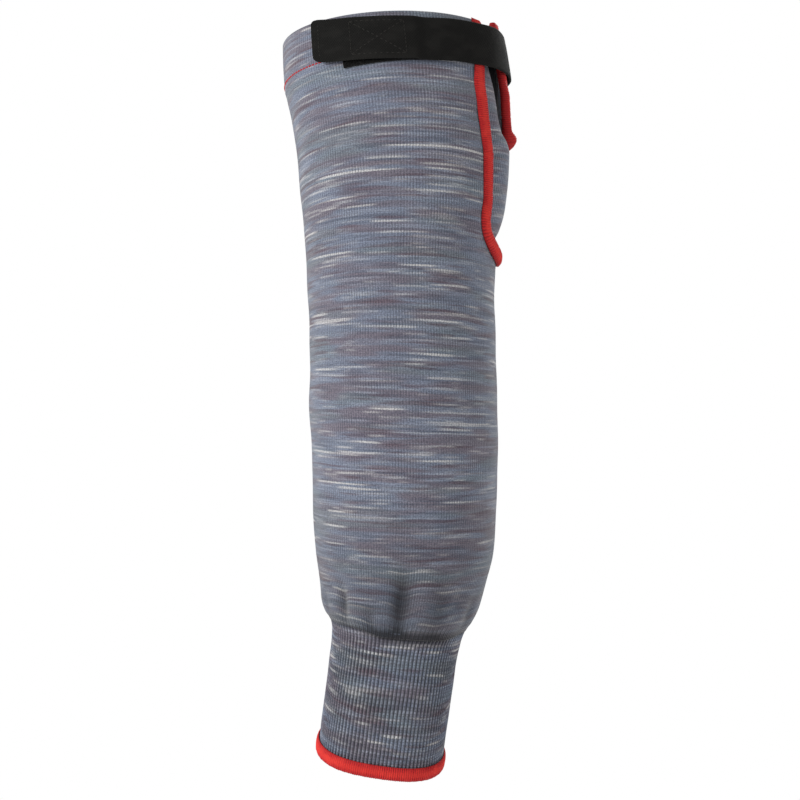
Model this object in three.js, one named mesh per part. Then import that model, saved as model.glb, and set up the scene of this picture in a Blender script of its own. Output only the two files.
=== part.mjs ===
import * as THREE from 'three';

// A cut resistant sleeve, in the form that an arm gives it. Lengths are millimetres and angles are
// degrees. Z runs up the arm, X runs across it and -Y is the front. The origin is the middle of the
// ring that the closure strap makes round the upper arm.
//
// Places on the sleeve are given as an angle round the arm (0 at the front, 90 at the right side),
// a distance down the arm from the rim, and a lift off the sleeve's own surface.

// Sleeve
const sleeve_length = 457;
const hem_width = 138;
const cuff_width = 78.5;
const knit_wall = 2;
const hem_depth = 33;
const hem_swell = 0.5;
const rim_round = 0.8;
const hem_step = 1;
const gather_length = 52;
const gather_depth = 3.8;
const gather_skew = 1.7;

// Wrist cuff
const cuff_length = 88;
const cuff_wall = 2.2;
const rib_pitch = 2.15;
const rib_relief = 0.9;
const cuff_depth_share = 0.8;
const wrist_bend = 0.46;

// Vent at the right side
const vent_length = 141;
const vent_flare = 2.2;
const knob_bulge = 2;
const rim_peak = 5;
const gusset_wall = 1.6;
const gusset_margin = 8;
const gusset_drop = 4;
const gusset_bulge = 8;
const gusset_fullness = 1.5;
const gusset_end_share = 0.93;

// Overlock thread
const thread_wrap = 0.9;
const binding_ease = 0.7;
const thread_bevel = 0.63;
const vent_overlock_width = 9;
const cuff_overlock_height = 9.4;

// Closure strap and its touch patches
const strap_width = 29;
const strap_thickness = 1.6;
const strap_level = 20.6;
const strap_start_angle = -42;
const strap_end_angle = 142;
const strap_corner = 4;
const strap_end_lift = 1.6;
const strap_corner_fade = 8;
const strap_settles_angle = 3;
const strap_falls_angle = 10;
const strap_past_vent_angle = 90;
const strap_on_hem_angle = 102;
const loop_height = 29;
const loop_thickness = 1.2;
const loop_drop = 1.5;
const loop_start_angle = -27;
const loop_end_angle = 30;
const hook_height = 23;
const hook_thickness = 1.2;
const hook_start_angle = -24;
const hook_end_angle = 7;

// Gap that is kept between pieces that lie on each other
const clearance = 0.3;

// Facets
const body_columns = 42;
const column_crowding = 0.35;
const lower_rows = 10;
const ring_crowding = 1.6;
const least_ring_gap = 3;
const vent_rings = 16;
const gusset_columns = 7;
const gusset_rows = 11;
const overlock_columns = 48;
const strap_step = 6;

const body_length = sleeve_length - cuff_length;

// Girth: place down the body from rim (0) to cuff (1) and on down the cuff, girth from the cuff's
// (0) to the hem's (1), depth as a share of width, and how far the section fills out at its four
// corners, as a share of its half width
const girth_rows = [
  { along: 0.00, girth: 0.96, depth: 0.70, corners: 0 },
  { along: 0.04, girth: 0.99, depth: 0.71, corners: 0 },
  { along: 0.08, girth: 1.00, depth: 0.72, corners: 0 },
  { along: 0.13, girth: 0.94, depth: 0.73, corners: 0 },
  { along: 0.20, girth: 0.86, depth: 0.74, corners: 0 },
  { along: 0.27, girth: 0.79, depth: 0.75, corners: 0 },
  { along: 0.34, girth: 0.71, depth: 0.76, corners: 0 },
  { along: 0.41, girth: 0.63, depth: 0.77, corners: 0 },
  { along: 0.48, girth: 0.60, depth: 0.77, corners: 0 },
  { along: 0.58, girth: 0.61, depth: 0.77, corners: 0 },
  { along: 0.67, girth: 0.61, depth: 0.77, corners: 0 },
  { along: 0.74, girth: 0.60, depth: 0.77, corners: 0 },
  { along: 0.80, girth: 0.57, depth: 0.77, corners: 0.01 },
  { along: 0.88, girth: 0.51, depth: 0.77, corners: 0.02 },
  { along: 0.91, girth: 0.46, depth: 0.77, corners: 0.03 },
  { along: 0.94, girth: 0.40, depth: 0.77, corners: 0.03 },
  { along: 0.965, girth: 0.335, depth: 0.77, corners: 0.04 },
  { along: 0.985, girth: 0.235, depth: 0.77, corners: 0.04 },
  { along: 1.00, girth: 0.10, depth: 0.77, corners: 0.04 },
  { along: 1.02, girth: 0.03, depth: 0.77, corners: 0.04 },
  { along: 1.06, girth: 0.00, depth: 0.78, corners: 0.04 },
  { along: 1.24, girth: 0.00, depth: 0.83, corners: 0.06 },
];

// Bend of the arm: place down the sleeve, tilt of the arm forwards, roll of its rings to the right,
// and sideways shift as a share of the hem's width
const bend_rows = [
  { along: 0.00, tilt: 17, roll: -2, shift: -0.009 },
  { along: 0.06, tilt: 17, roll: -2, shift: 0.010 },
  { along: 0.16, tilt: 17, roll: -1.5, shift: 0.037 },
  { along: 0.28, tilt: 13, roll: 0, shift: 0.040 },
  { along: 0.33, tilt: 9.5, roll: 0, shift: 0.037 },
  { along: 0.40, tilt: 6.5, roll: 1, shift: 0.042 },
  { along: 0.47, tilt: 2.5, roll: 2, shift: 0.047 },
  { along: 0.54, tilt: -0.5, roll: 2, shift: 0.051 },
  { along: 0.65, tilt: -4, roll: 1, shift: 0.055 },
  { along: 0.73, tilt: -5, roll: 1, shift: 0.050 },
  { along: 0.79, tilt: -6, roll: 4, shift: 0.032 },
  { along: 0.84, tilt: -8, roll: 7, shift: 0.009 },
  { along: 0.88, tilt: -9, roll: 8, shift: -0.008 },
  { along: 0.905, tilt: -18, roll: 8.5, shift: -0.019 },
  { along: 1.00, tilt: -18, roll: 8.5, shift: -0.058 },
];

// Edges of the vent: place down the vent, angles of the front and back edges, how far the edge
// stands off as a share of vent_flare, the knobs in the thread as a share of knob_bulge, and the
// bulge of the panel behind as a share of gusset_bulge
const vent_rows = [
  { along: 0.00, front: 55, back: 72, flare: 0, knob: 0, bulge: 0 },
  { along: 0.21, front: 52, back: 76, flare: 0, knob: 0, bulge: 0 },
  { along: 0.30, front: 51.5, back: 79, flare: 0.5, knob: 0, bulge: 0.1 },
  { along: 0.38, front: 53, back: 83, flare: 0.85, knob: 0.1, bulge: 0.2 },
  { along: 0.44, front: 54, back: 87, flare: 1, knob: 1, bulge: 0.45 },
  { along: 0.50, front: 56, back: 96, flare: 0.4, knob: 0.1, bulge: 0.8 },
  { along: 0.62, front: 60, back: 109, flare: 0, knob: 0, bulge: 1 },
  { along: 0.80, front: 61, back: 114, flare: 0, knob: 0, bulge: 0.85 },
  { along: 0.90, front: 58, back: 115, flare: 0, knob: 0, bulge: 0.5 },
  { along: 0.95, front: 56.5, back: 115.5, flare: 0, knob: 0.2, bulge: 0.1 },
  { along: 1.00, front: 56, back: 116, flare: 0, knob: 0.5, bulge: 0 },
];
const vent_bottom_angle = 87;
const vent_bottom_squareness = 7;
const flare_spread = 14;
const peak_spread = 9;

// Creases that gather the body into the cuff: angle, half width, and depth as a share of gather_depth
const gather_rows = [
  { angle: -51, spread: 11, depth: 1.0 },
  { angle: -7, spread: 12, depth: 0.8 },
  { angle: 40, spread: 14, depth: 0.35 },
  { angle: 82, spread: 11, depth: 0.5 },
  { angle: 124, spread: 12, depth: 0.9 },
  { angle: 168, spread: 13, depth: 0.8 },
  { angle: 214, spread: 11, depth: 1.0 },
  { angle: 262, spread: 12, depth: 0.6 },
];

// Smooth value of one column of a table at a place, without overshoot between its rows
function read(rows, column, place) {
  const last = rows.length - 1;
  if (place <= rows[0].along) return rows[0][column];
  if (place >= rows[last].along) return rows[last][column];
  let k = 0;
  while (rows[k + 1].along < place) k += 1;
  const step = (n) => rows[n + 1].along - rows[n].along;
  const rise = (n) => (rows[n + 1][column] - rows[n][column]) / step(n);
  const slope = (n) => {
    if (n === 0) return rise(0);
    if (n === last) return rise(last - 1);
    const before = rise(n - 1);
    const after = rise(n);
    return before * after <= 0 ? 0 : (2 * before * after) / (before + after);
  };
  const t = (place - rows[k].along) / step(k);
  const s = 1 - t;
  return rows[k][column] * s * s * (1 + 2 * t) + slope(k) * step(k) * s * s * t
    + rows[k + 1][column] * t * t * (1 + 2 * s) - slope(k + 1) * step(k) * t * t * s;
}

// Arm's centre line, a point for each millimetre down from the rim
const spine = [new THREE.Vector2(0, 0)];
for (let down = 0; down < sleeve_length + hem_depth; down += 1) {
  const tilt = THREE.MathUtils.degToRad(read(bend_rows, 'tilt', (down + 0.5) / sleeve_length));
  const here = spine[spine.length - 1];
  spine.push(new THREE.Vector2(here.x - Math.sin(tilt), here.y - Math.cos(tilt)));
}

function spinePoint(down) {
  const first = Math.min(Math.max(Math.floor(down), 0), spine.length - 2);
  const flat = new THREE.Vector2().lerpVectors(spine[first], spine[first + 1], down - first);
  const shift = read(bend_rows, 'shift', down / sleeve_length) * hem_width;
  return new THREE.Vector3(shift, flat.x, flat.y);
}

const ring_middle = spinePoint(strap_level);

// Point at an angle round the arm, a distance down from the rim and a lift off the smooth form
function place(angle, down, lift) {
  const round = THREE.MathUtils.degToRad(angle);
  const tilt = THREE.MathUtils.degToRad(read(bend_rows, 'tilt', down / sleeve_length));
  const roll = THREE.MathUtils.degToRad(read(bend_rows, 'roll', down / sleeve_length));
  const right = new THREE.Vector3(Math.cos(roll), 0, -Math.sin(roll));
  const front = new THREE.Vector3(0, -Math.cos(tilt), Math.sin(tilt));
  front.addScaledVector(new THREE.Vector3(Math.sin(roll), 0, Math.cos(roll) - 1), Math.sin(tilt));
  const girth = read(girth_rows, 'girth', down / body_length);
  const half_width = (cuff_width + (hem_width - cuff_width) * girth) / 2;
  const half_depth = half_width * read(girth_rows, 'depth', down / body_length);
  const fuller = read(girth_rows, 'corners', down / body_length) * half_width * Math.sin(2 * round) ** 2;
  const out = new THREE.Vector2(Math.sin(round) / half_width, Math.cos(round) / half_depth).normalize();
  return spinePoint(down).sub(ring_middle)
    .addScaledVector(right, half_width * Math.sin(round) + out.x * (lift + fuller))
    .addScaledVector(front, half_depth * Math.cos(round) + out.y * (lift + fuller));
}

function ventEdges(down) {
  const share = Math.min(Math.max(down / vent_length, 0), 1);
  const open = Math.sqrt(1 - share ** vent_bottom_squareness);
  return {
    front: vent_bottom_angle + (read(vent_rows, 'front', share) - vent_bottom_angle) * open,
    back: vent_bottom_angle + (read(vent_rows, 'back', share) - vent_bottom_angle) * open,
  };
}

// Bell curve of the distance between two angles
function near(angle, middle, spread) {
  const turn = ((angle - middle + 540) % 360) - 180;
  return Math.exp(-((turn / spread) ** 2));
}

// Lift of the knit's middle layer: gathers above the cuff and the vent's flared back edge
function knitLift(angle, down) {
  const share = (down - (body_length - gather_length)) / gather_length;
  let lift = 0;
  if (share > 0 && share < 1) {
    const gather = gather_depth * Math.sin(Math.PI * share ** gather_skew) * share;
    for (const crease of gather_rows) {
      lift -= gather * crease.depth * near(angle, crease.angle, crease.spread);
    }
  }
  const flare = read(vent_rows, 'flare', down / vent_length) * vent_flare;
  lift += flare * near(angle, ventEdges(down).back, flare_spread);
  return lift - knit_wall / 2;
}

// Half of the wall's thickness: the folded hem is fuller than the single knit
function halfWall(down) {
  return knit_wall / 2 + (down < hem_depth ? hem_swell : 0);
}

// One closed body from an outer and an inner sheet of points, outer[column][row]. From the row
// joined_from on, the last column is the first one, so 0 makes a tube and Infinity an open panel.
function closedSheets(outer, inner, joined_from) {
  const columns = outer.length - 1;
  const rows = outer[0].length - 1;
  const vertices = [];
  const known = new Map();
  const vertex = (side, column, row) => {
    const home = column === columns && row >= joined_from ? 0 : column;
    const key = `${side},${home},${row}`;
    if (!known.has(key)) {
      known.set(key, vertices.length / 3);
      vertices.push(...(side === 0 ? outer : inner)[home][row].toArray());
    }
    return known.get(key);
  };
  const triangles = [];
  const quad = (a, b, c, d) => triangles.push(a, b, c, a, c, d);
  for (let c = 0; c < columns; c += 1) {
    for (let r = 0; r < rows; r += 1) {
      quad(vertex(0, c, r), vertex(0, c, r + 1), vertex(0, c + 1, r + 1), vertex(0, c + 1, r));
      quad(vertex(1, c, r), vertex(1, c + 1, r), vertex(1, c + 1, r + 1), vertex(1, c, r + 1));
    }
    quad(vertex(0, c, 0), vertex(0, c + 1, 0), vertex(1, c + 1, 0), vertex(1, c, 0));
    quad(vertex(0, c, rows), vertex(1, c, rows), vertex(1, c + 1, rows), vertex(0, c + 1, rows));
  }
  for (let r = 0; r < Math.min(rows, joined_from); r += 1) {
    quad(vertex(0, 0, r), vertex(1, 0, r), vertex(1, 0, r + 1), vertex(0, 0, r + 1));
    quad(vertex(0, columns, r), vertex(0, columns, r + 1), vertex(1, columns, r + 1), vertex(1, columns, r));
  }
  const geometry = new THREE.BufferGeometry();
  geometry.setAttribute('position', new THREE.Float32BufferAttribute(vertices, 3));
  geometry.setIndex(triangles);
  geometry.computeVertexNormals();
  return geometry;
}

// Distances down the body of its rings: the vent's rings crowd towards the bottom of the vent
function bodyRings() {
  const rings = [0, rim_round];
  for (let k = 1; k <= vent_rings; k += 1) {
    const down = vent_length * (1 - (1 - k / vent_rings) ** ring_crowding);
    if (Math.abs(down - hem_depth) > least_ring_gap) rings.push(down);
  }
  rings.push(hem_depth / 5, hem_depth - hem_step / 2, hem_depth + hem_step / 2);
  rings.sort((a, b) => a - b);
  const vent_ring = rings.length - 1;
  const first_below = vent_length + vent_overlock_width;
  rings.push(first_below);
  const below = body_length - clearance / 2 - first_below;
  for (let k = 1; k <= lower_rows; k += 1) {
    rings.push(first_below + below * (1 - (1 - k / lower_rows) ** ring_crowding));
  }
  return { rings, vent_ring };
}

const { rings: body_rings, vent_ring } = bodyRings();

// Angle and distance down of each point of the body's grid, with the rim's peak at the back edge.
// The columns crowd a little towards the vent.
const body_grid = [];
for (let column = 0; column <= body_columns; column += 1) {
  const share = column / body_columns;
  const crowded = share - column_crowding * Math.sin(2 * Math.PI * share) / (2 * Math.PI);
  body_grid.push(body_rings.map((ring) => {
    const edges = ventEdges(ring);
    const angle = edges.back + (360 + edges.front - edges.back) * crowded;
    const peak = rim_peak * Math.max(0, 1 - ring / hem_depth) * near(angle, edges.back, peak_spread);
    const fades = column < body_columns / 2 ? 1 : 0;
    return { angle, down: ring - peak * fades, ring };
  }));
}

function sleeveBody() {
  const sheet = (side) => body_grid.map((points) => points.map(({ angle, down, ring }, row) => {
    const thickness = halfWall(ring) - (row === 0 ? rim_round : 0);
    return place(angle, down, knitLift(angle, ring) + side * thickness);
  }));
  return closedSheets(sheet(1), sheet(-1), vent_ring);
}

// Overlock thread that wraps the vent's edge. Its section lies across the edge: first the outer
// side and then the slot that the knit sits in, both from the outer lip to the inner lip.
function ventOverlock() {
  const edge = binding_ease + thread_wrap;
  const lip = edge - vent_overlock_width;
  const middle = ({ angle, down, ring }, turn, drop) => (
    place(angle + turn, down + drop, knitLift(angle + turn, ring + drop)));
  const stations = [];
  for (let row = 0; row <= vent_ring; row += 1) stations.push(body_grid[0][row]);
  for (let row = vent_ring - 1; row >= 0; row -= 1) stations.push(body_grid[body_columns][row]);
  const outer = [];
  const slot = [];
  stations.forEach((station, k) => {
    const point = middle(station, 0, 0);
    const before = middle(stations[Math.max(k - 1, 0)], 0, 0);
    const after = middle(stations[Math.min(k + 1, stations.length - 1)], 0, 0);
    const along = after.sub(before).normalize();
    const degree = middle(station, 1, 0).sub(point);
    const millimetre = middle(station, 0, 1).sub(point);
    const level = new THREE.Vector3().crossVectors(along, millimetre.clone().cross(degree)).normalize();
    const under = middle(station, level.dot(degree) / degree.lengthSq() * lip, level.dot(millimetre) * lip);
    const across = point.clone().sub(under);
    across.addScaledVector(along, -across.dot(along)).normalize();
    const out = new THREE.Vector3().crossVectors(across, along).normalize();
    const at = (over, up) => point.clone().addScaledVector(across, over).addScaledVector(out, up);
    const smooth = k > vent_ring && station.ring < vent_length / 2;
    const knob = smooth ? 0 : read(vent_rows, 'knob', station.ring / vent_length) * knob_bulge;
    const room = halfWall(station.ring) + binding_ease;
    const full = room + thread_wrap;
    const bevel = thread_bevel;
    outer.push([
      at(lip, full - bevel), at(lip + bevel, full + knob * 0.6), at(edge - bevel, full + knob),
      at(edge + knob * 0.5, 0),
      at(edge - bevel, -full), at(lip + bevel, -full), at(lip, bevel - full),
    ]);
    slot.push([
      at(lip, room), at(lip + bevel, room), at(binding_ease, room),
      at(binding_ease, 0),
      at(binding_ease, -room), at(lip + bevel, -room), at(lip, -room),
    ]);
  });
  return closedSheets(outer, slot, Infinity);
}

// Panel behind the vent, clear of the overlock's inner lip
function ventGusset() {
  const wide = THREE.MathUtils.radToDeg(gusset_margin / (hem_width / 2));
  const top = -knit_wall - hem_swell - binding_ease - thread_wrap - clearance;
  const outer = [];
  const inner = [];
  for (let column = 0; column <= gusset_columns; column += 1) {
    const share = column / gusset_columns;
    const rings = [];
    for (let row = 0; row <= gusset_rows; row += 1) {
      const down = gusset_drop + (vent_length + gusset_margin - gusset_drop) * (row / gusset_rows);
      const edges = ventEdges(Math.min(down, vent_length * gusset_end_share));
      const angle = edges.front - wide + (edges.back - edges.front + 2 * wide) * share;
      const between = (angle - edges.front) / (edges.back - edges.front);
      const rounded = between > 0 && between < 1 ? Math.sin(Math.PI * between) ** gusset_fullness : 0;
      const bulge = gusset_bulge * read(vent_rows, 'bulge', down / vent_length) * rounded;
      rings.push({ angle, down, lift: top + bulge });
    }
    outer.push(rings.map(({ angle, down, lift }) => place(angle, down, lift)));
    inner.push(rings.map(({ angle, down, lift }) => place(angle, down, lift - gusset_wall)));
  }
  return closedSheets(outer, inner, Infinity);
}

// Ribbed cuff: the outer side steps up and down from rib to rib
function wristCuff() {
  const ribs = Math.round((Math.PI * cuff_width * (1 + cuff_depth_share)) / 2 / rib_pitch);
  const top = body_length + clearance / 2;
  const bottom = sleeve_length - thread_wrap - binding_ease;
  const outer = [];
  const inner = [];
  const rings = [0, wrist_bend, 1].map((share) => top + (bottom - top) * share);
  for (let column = 0; column <= 2 * ribs; column += 1) {
    const angle = (180 * column) / ribs;
    const ridge = column % 2 === 0 ? 0 : -rib_relief;
    outer.push(rings.map((down) => place(angle, down, ridge)));
    inner.push(rings.map((down) => place(angle, down, -cuff_wall)));
  }
  return closedSheets(outer, inner, 0);
}

// Overlock thread that wraps the cuff's edge
function cuffOverlock() {
  const bottom = sleeve_length;
  const top = sleeve_length - cuff_overlock_height;
  const out = binding_ease + thread_wrap;
  const deep = -cuff_wall - binding_ease - thread_wrap;
  const bevel = thread_bevel;
  const floor = bottom - thread_wrap;
  const outer = [];
  const slot = [];
  for (let column = 0; column <= overlock_columns; column += 1) {
    const angle = (360 * column) / overlock_columns;
    const at = (down, lift) => place(angle, down, lift);
    outer.push([
      at(top, out - bevel), at(top + bevel, out), at(bottom - 2 * bevel, out), at(bottom, -cuff_wall / 4),
      at(bottom, -cuff_wall * 0.75), at(bottom - 2 * bevel, deep), at(top + bevel, deep),
      at(top, deep + bevel),
    ]);
    slot.push([
      at(top, binding_ease), at(top + bevel, binding_ease), at(floor, binding_ease),
      at(floor, -cuff_wall / 4), at(floor, -cuff_wall * 0.75), at(floor, deep + thread_wrap),
      at(top + bevel, deep + thread_wrap), at(top, deep + thread_wrap),
    ]);
  }
  return closedSheets(outer, slot, 0);
}

// Levels of the layers on the hem
const on_hem = hem_swell + clearance;
const over_loop = on_hem + loop_thickness + clearance;
const over_patches = over_loop + hook_thickness + clearance;
const over_binding = hem_swell + binding_ease + thread_wrap + clearance;

// Flat patch on the hem between two angles. It hangs lower by drop at its start, higher at its end.
function patch(start, end, height, drop, lift, thickness) {
  const columns = Math.round((end - start) / strap_step);
  const outer = [];
  const inner = [];
  for (let column = 0; column <= columns; column += 1) {
    const angle = start + ((end - start) * column) / columns;
    const middle = strap_level + drop * (1 - (2 * column) / columns);
    const rings = [-0.5, 0, 0.5].map((share) => middle + height * share);
    outer.push(rings.map((down) => place(angle, down, lift + thickness)));
    inner.push(rings.map((down) => place(angle, down, lift)));
  }
  return closedSheets(outer, inner, Infinity);
}

function loopPatch() {
  return patch(loop_start_angle, loop_end_angle, loop_height, loop_drop, on_hem, loop_thickness);
}

function hookPatch() {
  return patch(hook_start_angle, hook_end_angle, hook_height, 0, over_loop, hook_thickness);
}

// Route of the strap: angle, lift of its inner side, and rise towards the rim as a share of its width
const strap_rows = [
  { along: strap_start_angle, lift: over_patches + strap_end_lift, rise: 0.15 },
  { along: hook_start_angle - strap_settles_angle, lift: over_patches, rise: 0.07 },
  { along: hook_end_angle + strap_settles_angle, lift: over_patches, rise: 0 },
  { along: hook_end_angle + strap_falls_angle, lift: over_loop, rise: 0 },
  { along: loop_end_angle + strap_settles_angle, lift: over_loop, rise: 0.04 },
  { along: loop_end_angle + strap_falls_angle, lift: over_binding, rise: 0.05 },
  { along: strap_past_vent_angle, lift: over_binding, rise: 0.2 },
  { along: strap_on_hem_angle, lift: on_hem, rise: 0.2 },
  { along: strap_end_angle, lift: on_hem, rise: 0.2 },
];

function closureStrap() {
  const columns = Math.round((strap_end_angle - strap_start_angle) / strap_step);
  const corner = strap_corner / strap_width;
  const shares = [0, corner, 0.5, 1 - corner, 1];
  const cuts = [1, 0, 0, 0, 1];
  const corner_turn = THREE.MathUtils.radToDeg(strap_corner / (hem_width / 2));
  const outer = [];
  const inner = [];
  for (let column = 0; column <= columns; column += 1) {
    const share = column / columns;
    const straight = strap_start_angle + (strap_end_angle - strap_start_angle) * share;
    const rings = shares.map((across, k) => {
      const angle = straight + cuts[k] * corner_turn * (1 - share) ** strap_corner_fade;
      const middle = strap_level - read(strap_rows, 'rise', angle) * strap_width;
      return { angle, down: middle + strap_width * (across - 0.5), lift: read(strap_rows, 'lift', angle) };
    });
    outer.push(rings.map(({ angle, down, lift }) => place(angle, down, lift + strap_thickness)));
    inner.push(rings.map(({ angle, down, lift }) => place(angle, down, lift)));
  }
  return closedSheets(outer, inner, Infinity);
}

// Parts, with the colour and roughness of each
const sleeve = new THREE.Group();

function add(name, geometry, color, roughness) {
  const mesh = new THREE.Mesh(geometry, new THREE.MeshStandardMaterial({ color, roughness, metalness: 0 }));
  mesh.name = name;
  sleeve.add(mesh);
}

add('sleeve_body', sleeveBody(), '#747784', 0.9);
add('vent_gusset', ventGusset(), '#6b6e7a', 0.9);
add('vent_overlock', ventOverlock(), '#a33937', 0.7);
add('wrist_cuff', wristCuff(), '#5e5f67', 0.9);
add('cuff_overlock', cuffOverlock(), '#ac2c31', 0.7);
add('loop_patch', loopPatch(), '#1b1a19', 1);
add('hook_patch', hookPatch(), '#1b1a19', 0.8);
add('closure_strap', closureStrap(), '#1d1b19', 0.8);

export default sleeve;
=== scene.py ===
"""Dresses a packed cut resistant sleeve: marled jersey knit, a ribbed cuff, red overlocked edges, a vent
with its gusset, and a touch-closure strap. Lengths are millimetres until a mesh is made, in the frame's
own axes: Z up the arm, X across it, -Y the front."""

import math
from functools import partial

import bmesh
import bpy
import numpy as np
from bpy.props import BoolProperty, FloatProperty, IntProperty, PointerProperty, StringProperty
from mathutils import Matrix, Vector


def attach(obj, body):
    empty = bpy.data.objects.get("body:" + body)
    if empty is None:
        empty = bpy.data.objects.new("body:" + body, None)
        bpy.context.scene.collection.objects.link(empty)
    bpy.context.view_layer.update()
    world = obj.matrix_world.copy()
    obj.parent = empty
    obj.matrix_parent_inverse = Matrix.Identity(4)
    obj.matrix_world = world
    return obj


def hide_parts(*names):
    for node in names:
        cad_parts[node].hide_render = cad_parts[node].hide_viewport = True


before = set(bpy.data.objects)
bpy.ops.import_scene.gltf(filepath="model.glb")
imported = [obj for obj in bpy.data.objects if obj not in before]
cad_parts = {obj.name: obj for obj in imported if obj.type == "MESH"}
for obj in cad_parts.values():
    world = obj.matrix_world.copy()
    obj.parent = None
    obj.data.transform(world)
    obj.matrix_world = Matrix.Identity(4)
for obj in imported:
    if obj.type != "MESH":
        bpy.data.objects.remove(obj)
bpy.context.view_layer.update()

bl_info = {
    "name": "Cut Resistant Sleeve",
    "version": (1, 0, 0),
    "blender": (4, 5, 0),
    "location": "3D View > Sidebar > Sleeve",
    "description": "Builds the knit, threads and strap of a cut resistant sleeve round its packed model",
    "category": "Add Mesh",
}

BODY = "root"
MM = 0.001
WELD_DISTANCE = 0.00002
# A direction that no stitch runs along, to set a thread's sides by
SIDEWAYS = (0.31, 0.17, 0.93)

# Sizes in millimetres and places round the arm in degrees. The driving ones are those of the model's
# source; those of threads, stitches, folds and pile are the scene's own.
SLEEVE_LENGTH = 457
HEM_WIDTH = 138
CUFF_WIDTH = 78.5
CUFF_LENGTH = 88
BODY_LENGTH = SLEEVE_LENGTH - CUFF_LENGTH
KNIT_WALL = 2
HEM_DEPTH = 33
HEM_SWELL = 0.5
HEM_STEP = 1.5
HEM_STITCH_DOWN = 28.5
HEM_STITCH_MARGIN = 8
HEM_STITCH_RADIUS = 0.55
HEM_STITCH_SINK = 0.35
STITCH_POINTS = 7
HEM_GROOVE = 0.45
HEM_GROOVE_REACH = 0.9
RIM_ROUNDING = (0.9, 0.315)
GATHER_LENGTH = 52
GATHER_DEPTH = 3.8
CUFF_WALL = 2.2
RIB_PITCH = 2.15
RIB_RELIEF = 0.9
CUFF_COURSE_PITCH = 1.75
CUFF_DEPTH_SHARE = 0.8
VENT_LENGTH = 141
VENT_FLARE = 2.2
KNOB_BULGE = 3
RIM_PEAK = 5
GUSSET_WALL = 1.6
GUSSET_MARGIN = 8
GUSSET_DROP = 4
GUSSET_BULGE = 8
GUSSET_FULLNESS = 1.5
GUSSET_FOLD = 9
THREAD_WRAP = 0.9
THREAD_TURN = 12
THREAD_SLANT = 0.35
THREAD_ROOT = 0.34
THREAD_UNEVENNESS = 0.10
THREAD_TUCK = 0.35
THREAD_CROWN = 0.8
THREAD_PINCH = 0.6
THREAD_END = 1.1
THREAD_SKIN = 0.72
CUFF_THREAD_EASE = 0.2
CUFF_THREAD_FREEDOM = 0.5
BINDING_EASE = 0.7
VENT_OVERLOCK_WIDTH = 9
CUFF_OVERLOCK_HEIGHT = 9.4
STRAP_WIDTH = 29
STRAP_THICKNESS = 1.6
STRAP_LEVEL = 20.6
STRAP_START = -42
STRAP_END = 142
STRAP_CORNER = 4
STRAP_END_LIFT = 1.6
STRAP_STITCH_RADIUS = 0.3
STRAP_STITCH_SINK = 0.1
SEAM_MARGIN = 3.2
END_SEAM = 4
ANCHOR_LENGTH = 20
STRAP_SETTLES = 3
STRAP_FALLS = 10
STRAP_PAST_VENT = 90
STRAP_ON_HEM = 102
LOOP_HEIGHT = 29
LOOP_THICKNESS = 1.2
LOOP_START = -27
LOOP_END = 30
LOOP_DROP = 1.5
PILE_LOOPS = 1500
PILE_STRIP = 5
PILE_RADIUS = 0.07
HOOK_HEIGHT = 23
HOOK_THICKNESS = 1.2
HOOK_START = -24
HOOK_END = 7
CLEARANCE = 0.3
COLUMN_CROWDING = 0.35
VENT_BOTTOM_ANGLE = 87
VENT_BOTTOM_SQUARENESS = 11
FLARE_SPREAD = 14
PEAK_SPREAD = 9

BINDING_REACH = BINDING_EASE + THREAD_WRAP
CUFF_EDGE = SLEEVE_LENGTH - BINDING_REACH
ON_HEM = HEM_SWELL + CLEARANCE
OVER_LOOP = ON_HEM + LOOP_THICKNESS + CLEARANCE
OVER_PATCHES = OVER_LOOP + HOOK_THICKNESS + CLEARANCE
OVER_BINDING = HEM_SWELL + BINDING_REACH + CLEARANCE

# Camera: level and square to the front, in metres; and what half of the picture spans at the sleeve
CAMERA_DISTANCE = 1.6
CAMERA_HALF_VIEW = 0.252
CAMERA_PLACE = (0.0038, 0.0011 - CAMERA_DISTANCE, -0.2056)
# Studio: lights with their place and size in metres and their power as a share of the key's, the point
# that they shine on, and the floor
LIGHTS = (("key", (-1.7, -0.95, 0.3), 0.8, 1), ("fill", (1.6, -0.9, 0.1), 1.2, 0.26),
          ("back", (0.6, 1.5, 0.6), 1.2, 0.5))
LIGHT_AIM = (0, 0, -0.2)
FLOOR_LEVEL = -1.0
FLOOR_RADIUS = 3


def table(columns, rows):
    """Named columns of a table of numbers; the first column is the place."""
    return dict(zip(columns.split(), np.array(rows, float).T))


# Girth down the body and on down the cuff, depth as a share of width, and fullness of the corners
GIRTH = table("along girth depth corners", (
    (0.00, 0.96, 0.70, 0), (0.04, 0.99, 0.71, 0), (0.08, 1.00, 0.72, 0), (0.13, 0.94, 0.73, 0),
    (0.20, 0.86, 0.74, 0), (0.27, 0.79, 0.75, 0), (0.34, 0.71, 0.76, 0), (0.41, 0.63, 0.77, 0),
    (0.48, 0.60, 0.77, 0), (0.58, 0.61, 0.77, 0), (0.67, 0.61, 0.77, 0), (0.74, 0.60, 0.77, 0),
    (0.80, 0.57, 0.77, 0.01), (0.88, 0.51, 0.77, 0.02), (0.91, 0.46, 0.77, 0.03),
    (0.94, 0.40, 0.77, 0.03), (0.965, 0.335, 0.77, 0.04), (0.985, 0.235, 0.77, 0.04),
    (1.00, 0.10, 0.77, 0.04), (1.02, 0.03, 0.77, 0.04), (1.06, 0, 0.78, 0.04), (1.24, 0, 0.83, 0.06)))
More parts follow.
